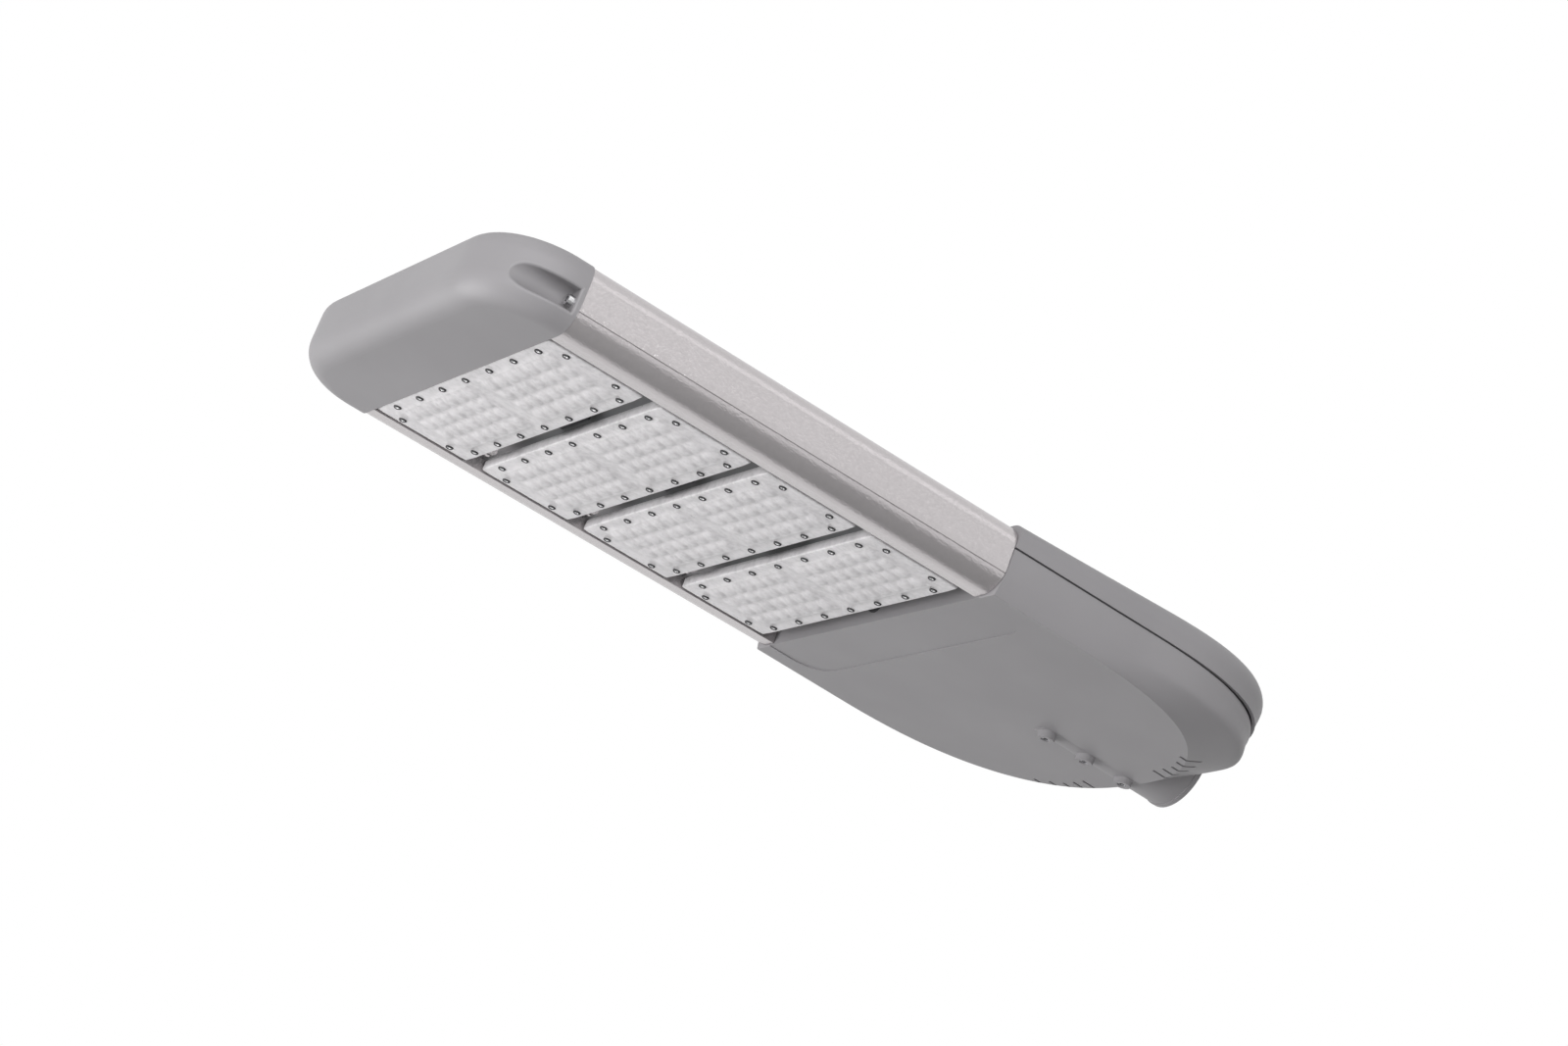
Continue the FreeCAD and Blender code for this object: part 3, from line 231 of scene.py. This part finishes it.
def rail_aluminium():
    """Extruded aluminium: silver, with fine lines along its length and a little sparkle."""
    material, nodes, links, shader = new_material("rail_aluminium")
    along = object_points(nodes, links, scale=(3, 900, 900))
    lines = noise(nodes, links, along, scale=1.0, rough=0.6)
    specks = noise(nodes, links, object_points(nodes, links), scale=520.0, detail=2.0, rough=0.7)
    tones = [(0.3, tinted(RAIL_SILVER, 0.96)), (0.7, tinted(RAIL_SILVER, 1.03))]
    links.new(ramp(nodes, links, specks, tones), shader.inputs["Base Color"])
    links.new(spread(nodes, links, specks, low=0.16, high=0.30), shader.inputs["Roughness"])
    drawn = bump(nodes, links, lines, distance=0.00001, strength=0.5)
    skin = bump(nodes, links, specks, distance=0.0004, strength=0.8, before=drawn)
    links.new(skin, shader.inputs["Normal"])
    shader.inputs["Metallic"].default_value = 0.82
    return material


def sink_aluminium_with_gap_shade():
    """The heat sinks' aluminium, with saw lines and slight stains; its base colour is darkened as
    painted shade for the gaps between the lens plates.
    """
    material, nodes, links, shader = new_material("sink_aluminium_with_gap_shade")
    across = object_points(nodes, links, scale=(700, 4, 700))
    lines = noise(nodes, links, across, scale=1.0, detail=2.0)
    stains = noise(nodes, links, object_points(nodes, links), scale=24.0)
    tones = [(0.3, tinted(SINK_GREY_AND_GAP_SHADE, 0.9)), (0.7, tinted(SINK_GREY_AND_GAP_SHADE, 1.05))]
    links.new(ramp(nodes, links, stains, tones), shader.inputs["Base Color"])
    links.new(spread(nodes, links, lines, low=0.32, high=0.5), shader.inputs["Roughness"])
    skin = bump(nodes, links, lines, distance=0.00003, strength=0.5)
    links.new(skin, shader.inputs["Normal"])
    shader.inputs["Metallic"].default_value = 0.85
    return material


def clear_lens():
    """Moulded clear plastic over white boards: milky, with flow marks and a satin skin."""
    material, nodes, links, shader = new_material("clear_lens")
    points = object_points(nodes, links)
    flow = noise(nodes, links, points, scale=60.0, rough=0.55)
    fine = noise(nodes, links, points, scale=260.0, detail=2.0)
    marks = mean(nodes, links, flow, fine)
    tones = [(0.38, tinted(LENS_MILK, 0.86)), (0.5, LENS_MILK), (0.62, tinted(LENS_MILK, 1.09))]
    links.new(ramp(nodes, links, marks, tones), shader.inputs["Base Color"])
    links.new(spread(nodes, links, fine, low=0.24, high=0.40), shader.inputs["Roughness"])
    skin = bump(nodes, links, fine, distance=0.0002, strength=0.18)
    links.new(skin, shader.inputs["Normal"])
    shader.inputs["IOR"].default_value = 1.49
    shader.inputs["Transmission Weight"].default_value = 0.12
    return material


def screw_steel():
    """Stainless steel screws: bright, with turning marks."""
    material, nodes, links, shader = new_material("screw_steel")
    marks = noise(nodes, links, object_points(nodes, links), scale=900.0, detail=2.0)
    tones = [(0.3, STEEL_DARK), (0.7, STEEL_LIGHT)]
    links.new(ramp(nodes, links, marks, tones), shader.inputs["Base Color"])
    links.new(spread(nodes, links, marks, low=0.18, high=0.34), shader.inputs["Roughness"])
    skin = bump(nodes, links, marks, distance=0.00002, strength=0.4)
    links.new(skin, shader.inputs["Normal"])
    shader.inputs["Metallic"].default_value = 1.0
    return material


def zinc_sheet():
    """Zinc plated sheet, with the faint patches of its plating."""
    material, nodes, links, shader = new_material("zinc_sheet")
    points = object_points(nodes, links)
    cells = nodes.new("ShaderNodeTexVoronoi")
    cells.inputs["Scale"].default_value = 110.0
    links.new(points, cells.inputs["Vector"])
    tones = [(0.0, ZINC_DARK), (1.0, ZINC_LIGHT)]
    links.new(ramp(nodes, links, cells.outputs["Distance"], tones), shader.inputs["Base Color"])
    grain = noise(nodes, links, points, scale=300.0)
    links.new(spread(nodes, links, grain, low=0.28, high=0.42), shader.inputs["Roughness"])
    shader.inputs["Metallic"].default_value = 0.9
    return material


def moulded_plastic(name, base, low, high):
    """Moulded plastic of one colour with a spark-eroded grain, rough from low to high."""
    material, nodes, links, shader = new_material(name)
    points = object_points(nodes, links)
    grain = noise(nodes, links, points, scale=1600.0, detail=2.0, rough=0.6)
    tone = noise(nodes, links, points, scale=40.0, detail=2.0)
    tones = [(0.3, tinted(base, 0.85)), (0.7, tinted(base, 1.15))]
    links.new(ramp(nodes, links, tone, tones), shader.inputs["Base Color"])
    links.new(spread(nodes, links, grain, low, high), shader.inputs["Roughness"])
    skin = bump(nodes, links, grain, distance=0.00005, strength=0.5)
    links.new(skin, shader.inputs["Normal"])
    return material


def module_centres():
    """The modules' centres along the lamp, in millimetres."""
    return [FIRST_MODULE + i * MODULE_PITCH for i in range(MODULES)]


def shown(name, mesh, material, node):
    """A piece of the lamp made from a mesh, in place of a CAD node."""
    piece = bpy.data.objects.new(name, mesh)
    bpy.context.scene.collection.objects.link(piece)
    mesh.materials.append(material)
    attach(piece, "root")
    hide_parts(node)
    return piece


def mesh_of(name, points, faces):
    """A smooth mesh of four-cornered faces, its points in millimetres and doubled ones joined."""
    mesh = bpy.data.meshes.new(name)
    mesh.from_pydata((points * MM).tolist(), [], faces.tolist())
    work = bmesh.new()
    work.from_mesh(mesh)
    bmesh.ops.remove_doubles(work, verts=work.verts, dist=JOIN_DISTANCE)
    bmesh.ops.recalc_face_normals(work, faces=work.faces)
    work.to_mesh(mesh)
    work.free()
    mesh.shade_smooth()
    return mesh


def grid_faces(index, around=False):
    """The faces of a grid of point numbers; around joins each row's end to its start."""
    if around:
        index = np.hstack([index, index[:, :1]])
    corners = [index[:-1, :-1], index[1:, :-1], index[1:, 1:], index[:-1, 1:]]
    return np.stack(corners, axis=-1).reshape(-1, 4)


def turned(radii, heights):
    """A profile of radii and heights turned round the Z axis: x, y, z and the point numbers."""
    around = 2 * math.pi * np.arange(SCREW_SIDES) / SCREW_SIDES
    x = radii[:, None] * np.cos(around)
    y = radii[:, None] * np.sin(around)
    z = np.broadcast_to(heights[:, None], x.shape)
    return x, y, z, np.arange(x.size).reshape(x.shape)


def lens_relief(x, y):
    """How far the lens plate's face stands out, at places from the module's centre.

    Two raised blocks hold rows of small lenses. A lens is a squared dome: the radius comes from
    the two distances to the power LENS_SQUARENESS, and the height falls slowly with it, then fast.
    A shallow bell-shaped valley runs across its middle.
    """
    row = np.clip(np.round(x / LENS_PITCH_X + (LENS_ROWS - 1) / 2), 0, LENS_ROWS - 1)
    column = np.clip(np.round((np.abs(y) - LENS_FIRST_Y) / LENS_PITCH_Y), 0, LENS_COLUMNS - 1)
    dx = (x - (row - (LENS_ROWS - 1) / 2) * LENS_PITCH_X) / (LENS_WIDTH / 2)
    dy = (np.abs(y) - LENS_FIRST_Y - column * LENS_PITCH_Y) / (LENS_LENGTH / 2)
    power = LENS_SQUARENESS
    radius = (np.abs(dx) ** power + np.abs(dy) ** power) ** (1 / power)
    dome = np.clip(1 - radius ** LENS_FLATNESS, 0, 1) ** LENS_FALL
    valley = VALLEY_DEPTH * np.exp(-(dy / VALLEY_WIDTH) ** 2)
    half = LENS_ROWS * LENS_PITCH_X / 2 + BLOCK_BORDER
    inner = LENS_FIRST_Y - LENS_PITCH_Y / 2 - BLOCK_BORDER
    outer = LENS_FIRST_Y + (LENS_COLUMNS - 0.5) * LENS_PITCH_Y + BLOCK_BORDER
    block = (np.abs(x) < half) & (np.abs(y) > inner) & (np.abs(y) < outer)
    return np.where(block, BLOCK_RISE, 0.0) + LENS_RISE * dome * (1 - valley)


def block_lines(low, pitch, count, start, end):
    """Grid lines over a block of lenses from its low side.

    LENS_CELLS cells go over each lens, a close pair of lines makes the step at each of the block's
    edges, and the first and last lines are the start and end of the face.
    """
    high = low + count * pitch
    steps = np.linspace(low, high, count * LENS_CELLS + 1)
    before = low - BLOCK_BORDER + np.array([-BLOCK_STEP, BLOCK_STEP])
    after = high + BLOCK_BORDER + np.array([-BLOCK_STEP, BLOCK_STEP])
    return np.concatenate([[start], before, steps, after, [end]])


def lens_plate(centre):
    """One lens plate's outer skin: the face as a grid with its relief, then loops over the edge.

    The loops follow a rounded rectangle: each of the face's border points goes to the nearest point
    of a smaller rectangle and from there straight out. They drop round a quarter circle, and then
    straight down the skirt.
    """
    block = LENS_ROWS * LENS_PITCH_X / 2
    end_x = PLATE_HALF_LENGTH - PLATE_MARGIN
    end_y = PLATE_HALF_WIDTH - PLATE_MARGIN
    x = block_lines(-block, LENS_PITCH_X, LENS_ROWS, -end_x, end_x)
    side = block_lines(LENS_FIRST_Y - LENS_PITCH_Y / 2, LENS_PITCH_Y, LENS_COLUMNS, 0.0, end_y)
    y = np.concatenate([-side[:0:-1], side])
    grid_x, grid_y = np.meshgrid(x, y, indexing="ij")
    face = np.stack([grid_x, grid_y, FACE - lens_relief(grid_x, grid_y)], axis=-1)
    index = np.arange(face[..., 0].size).reshape(face.shape[:2])
    border = np.concatenate([index[:-1, 0], index[-1, :-1], index[:0:-1, -1], index[0, :0:-1]])
    flat = face.reshape(-1, 3)
    outer = flat[border, :2] * np.array([PLATE_HALF_LENGTH / end_x, PLATE_HALF_WIDTH / end_y])
    core_size = np.array([PLATE_HALF_LENGTH, PLATE_HALF_WIDTH]) - PLATE_CORNER
    core = np.clip(outer, -core_size, core_size)
    out = outer - core
    out /= np.linalg.norm(out, axis=1, keepdims=True)
    turn = np.linspace(0, math.pi / 2, PLATE_EDGE_LOOPS)
    reach = np.append(PLATE_CORNER - PLATE_EDGE + PLATE_EDGE * np.sin(turn), PLATE_CORNER)
    drop = np.append(PLATE_EDGE * (1 - np.cos(turn)), PLATE_SKIRT)
    loops = core[None] + out[None] * reach[:, None, None]
    heights = np.broadcast_to(FACE + drop[:, None, None], (*loops.shape[:2], 1))
    skirt = np.concatenate([loops, heights], axis=-1)
    first = flat.shape[0]
    ring = first + np.arange(skirt[..., 0].size).reshape(skirt.shape[:2])
    points = np.concatenate([flat, skirt.reshape(-1, 3)]) + np.array([centre, 0.0, 0.0])
    faces = np.concatenate([grid_faces(index), grid_faces(np.vstack([border, ring]), around=True)])
    return points, faces


def screw_cross(x, y):
    """How deep the cross recess is at places from a screw's centre.

    Two crossed slots, which get shallower towards their ends.
    """
    far = np.maximum(np.abs(x), np.abs(y))
    near = np.minimum(np.abs(x), np.abs(y))
    slot = np.clip((SCREW_CROSS_WIDTH - near) / SCREW_CROSS_WALL, 0, 1)
    return SCREW_CROSS_DEPTH * slot * np.clip((SCREW_CROSS_REACH - far) / SCREW_CROSS_RAMP, 0, 1)


def lens_screw():
    """One screw, head down, about its own axis.

    The head is a flat dome with a short straight side, with the cross recess pressed into it, and
    the shank goes up to a blunt tip.
    """
    share = np.array(SCREW_HEAD_SHARES)
    head = SCREW_RADIUS * share
    crown = SCREW_CROWN * SCREW_HEIGHT * (1 - np.sqrt(1 - share ** 4))
    radii = np.concatenate([head, [SCREW_RADIUS, SCREW_SHANK, SCREW_SHANK, 0.0]])
    shank = [0.0, 0.0, SCREW_LENGTH, SCREW_LENGTH + SCREW_TIP]
    x, y, z, index = turned(radii, np.concatenate([crown - SCREW_HEIGHT, shank]))
    top = (np.arange(radii.size) < head.size)[:, None]
    points = np.stack([x, y, z + np.where(top, screw_cross(x, y), 0.0)], axis=-1)
    return points.reshape(-1, 3), grid_faces(index, around=True)


def lens_shade_ring():
    """The black ring under one screw's head, painted shade round the head: half an ellipse turned
    round, flat at the plate.
    """
    turn = np.linspace(0, math.pi, SHADE_RING_LOOPS)
    radii = SHADE_RING_RADIUS - SHADE_RING_HALF_WIDTH * np.cos(turn)
    x, y, z, index = turned(radii, -SHADE_RING_HEIGHT * np.sin(turn))
    points = np.stack([x, y, z], axis=-1)
    return points.reshape(-1, 3), grid_faces(np.vstack([index, index[:1]]), around=True)


def screw_places(centre):
    """The screws' places round one lens plate: a row by each long edge and a pair at each end."""
    columns = (np.arange(SCREW_COLUMNS) - (SCREW_COLUMNS - 1) / 2) * SCREW_PITCH
    rows = [(centre + side * SCREW_ROW, y) for side in (-1, 1) for y in columns]
    pairs = [(centre + side * SCREW_END_X, end * SCREW_END_Y) for side in (-1, 1) for end in (-1, 1)]
    return np.array(rows + pairs)


def at_places(name, points, faces, places, angles):
    """A mesh of one shape repeated at places on the lens face, each turned by its own angle."""
    cos, sin = np.cos(angles)[:, None], np.sin(angles)[:, None]
    x = points[:, 0] * cos - points[:, 1] * sin + places[:, :1]
    y = points[:, 0] * sin + points[:, 1] * cos + places[:, 1:]
    z = np.broadcast_to(points[:, 2] + FACE, x.shape)
    every = np.stack([x, y, z], axis=-1).reshape(-1, 3)
    number = np.arange(len(places))[:, None, None] * len(points) + faces
    return mesh_of(name, every, number.reshape(-1, 4))


def build_lens_plates(material):
    """The four lens plates, with a wall given to each skin."""
    for i, centre in enumerate(module_centres()):
        name = f"lens_plate_{i + 1}"
        mesh = mesh_of(name, *lens_plate(centre))
        piece = shown(name, mesh, material, f"module_lens_{i + 1}")
        wall = piece.modifiers.new("wall", "SOLIDIFY")
        wall.thickness = PLATE_WALL * MM
        wall.offset = -1
        wall.use_even_offset = True


def build_lens_screws(steel, shade_ring_black):
    """The screws round each lens plate, each turned by its own angle, and the black rings of painted
    shade under them.
    """
    for i, centre in enumerate(module_centres()):
        places = screw_places(centre)
        angles = SCREW_TURN * np.arange(len(places)) + i
        node = f"module_lens_screws_{i + 1}"
        name = f"lens_screws_{i + 1}"
        shown(name, at_places(name, *lens_screw(), places, angles), steel, node)
        # A black ring under each screw's head, painting the shade round it
        name = f"lens_shade_rings_{i + 1}"
        shown(name, at_places(name, *lens_shade_ring(), places, angles), shade_ring_black, node)


def dress_frame(frame):
    """Give every CAD node the material of its slot."""
    by_slot = {
        "casting": casting_paint(),
        "rail": rail_aluminium(),
        "heatsink": sink_aluminium_with_gap_shade(),
        "screw": screw_steel(),
        "steel": zinc_sheet(),
        "black_plastic": moulded_plastic("black_plastic", BLACK_PLASTIC, low=0.35, high=0.55),
        "gasket": moulded_plastic("black_silicone", BLACK_SILICONE, low=0.55, high=0.75),
        "board": moulded_plastic("white_board", BOARD_WHITE, low=0.35, high=0.5),
        "driver_case": moulded_plastic("driver_case", DRIVER_GREY, low=0.35, high=0.5),
        "lens": clear_lens(),
    }
    slots = {p["node"]: p["material_slot"] for p in frame["record"]["subparts"]}
    for name, node in frame["nodes"].items():
        node.data.materials.clear()
        node.data.materials.append(by_slot[slots[name]])
    return by_slot


def build_surround():
    """A surround that lights the lamp softly, but is white to the camera and in reflections."""
    world = bpy.data.worlds.new("studio")
    bpy.context.scene.world = world
    world.use_nodes = True
    nodes = world.node_tree.nodes
    links = world.node_tree.links
    background = nodes["Background"]
    seen = nodes.new("ShaderNodeLightPath")
    seen_white = seen.outputs["Is Camera Ray"]
    for kind in ("Is Glossy Ray", "Is Transmission Ray"):
        either = nodes.new("ShaderNodeMath")
        either.operation = "MAXIMUM"
        links.new(seen_white, either.inputs[0])
        links.new(seen.outputs[kind], either.inputs[1])
        seen_white = either.outputs["Value"]
    strength = spread(nodes, links, seen_white, low=AMBIENT, high=1.0)
    links.new(strength, background.inputs["Strength"])
    background.inputs["Color"].default_value = (1, 1, 1, 1)


def build_floor():
    """A pale floor, moved forward under the camera's view."""
    half = FLOOR_SIZE / 2
    near, far = -half - FLOOR_FORWARD, half - FLOOR_FORWARD
    corners = [(-half, near, FLOOR_HEIGHT), (half, near, FLOOR_HEIGHT),
               (half, far, FLOOR_HEIGHT), (-half, far, FLOOR_HEIGHT)]
    mesh = bpy.data.meshes.new("floor")
    mesh.from_pydata(corners, [], [(0, 1, 2, 3)])
    floor = bpy.data.objects.new("floor", mesh)
    bpy.context.scene.collection.objects.link(floor)
    material, _, _, shader = new_material("floor_paint")
    shader.inputs["Base Color"].default_value = (*FLOOR_COLOUR, 1)
    shader.inputs["Roughness"].default_value = FLOOR_ROUGHNESS
    mesh.materials.append(material)


def build_lamps():
    """The studio's soft lamps, all turned to the same point of the lamp head."""
    for name, place, size, power in LAMPS:
        light = bpy.data.lights.new(name, "AREA")
        light.shape = "RECTANGLE"
        light.size, light.size_y = size
        light.energy = power
        piece = bpy.data.objects.new(name, light)
        piece.location = place
        aim = Vector(LAMP_TARGET) - Vector(place)
        piece.rotation_euler = aim.to_track_quat("-Z", "Y").to_euler()
        bpy.context.scene.collection.objects.link(piece)


def build_camera():
    """The photograph's camera, from its place, direction and roll."""
    azimuth = math.radians(CAMERA_AZIMUTH)
    elevation = math.radians(CAMERA_ELEVATION)
    roll = math.radians(CAMERA_ROLL)
    forward = Vector((math.cos(elevation) * math.sin(azimuth),
                      math.cos(elevation) * math.cos(azimuth),
                      math.sin(elevation)))
    level = Vector((math.cos(azimuth), -math.sin(azimuth), 0))
    upright = level.cross(forward)
    right = level * math.cos(roll) + upright * math.sin(roll)
    up = upright * math.cos(roll) - level * math.sin(roll)
    data = bpy.data.cameras.new("camera")
    data.lens = CAMERA_LENS
    data.sensor_width = SENSOR_WIDTH
    camera = bpy.data.objects.new("camera", data)
    turn = Matrix((right, up, -forward)).transposed().to_4x4()
    camera.matrix_world = Matrix.Translation(CAMERA_PLACE) @ turn
    bpy.context.scene.collection.objects.link(camera)
    bpy.context.scene.camera = camera


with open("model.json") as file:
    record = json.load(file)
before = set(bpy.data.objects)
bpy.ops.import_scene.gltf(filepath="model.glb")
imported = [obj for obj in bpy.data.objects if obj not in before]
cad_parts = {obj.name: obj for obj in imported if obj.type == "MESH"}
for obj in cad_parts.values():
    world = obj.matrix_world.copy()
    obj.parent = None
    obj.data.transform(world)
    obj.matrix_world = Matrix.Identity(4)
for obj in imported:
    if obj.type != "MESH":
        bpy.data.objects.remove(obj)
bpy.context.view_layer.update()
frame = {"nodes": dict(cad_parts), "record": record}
looks = dress_frame(frame)
build_lens_plates(looks["lens"])
build_lens_screws(looks["screw"], looks["gasket"])
build_surround()
build_floor()
build_lamps()
build_camera()
bpy.context.scene.view_settings.view_transform = "Standard"
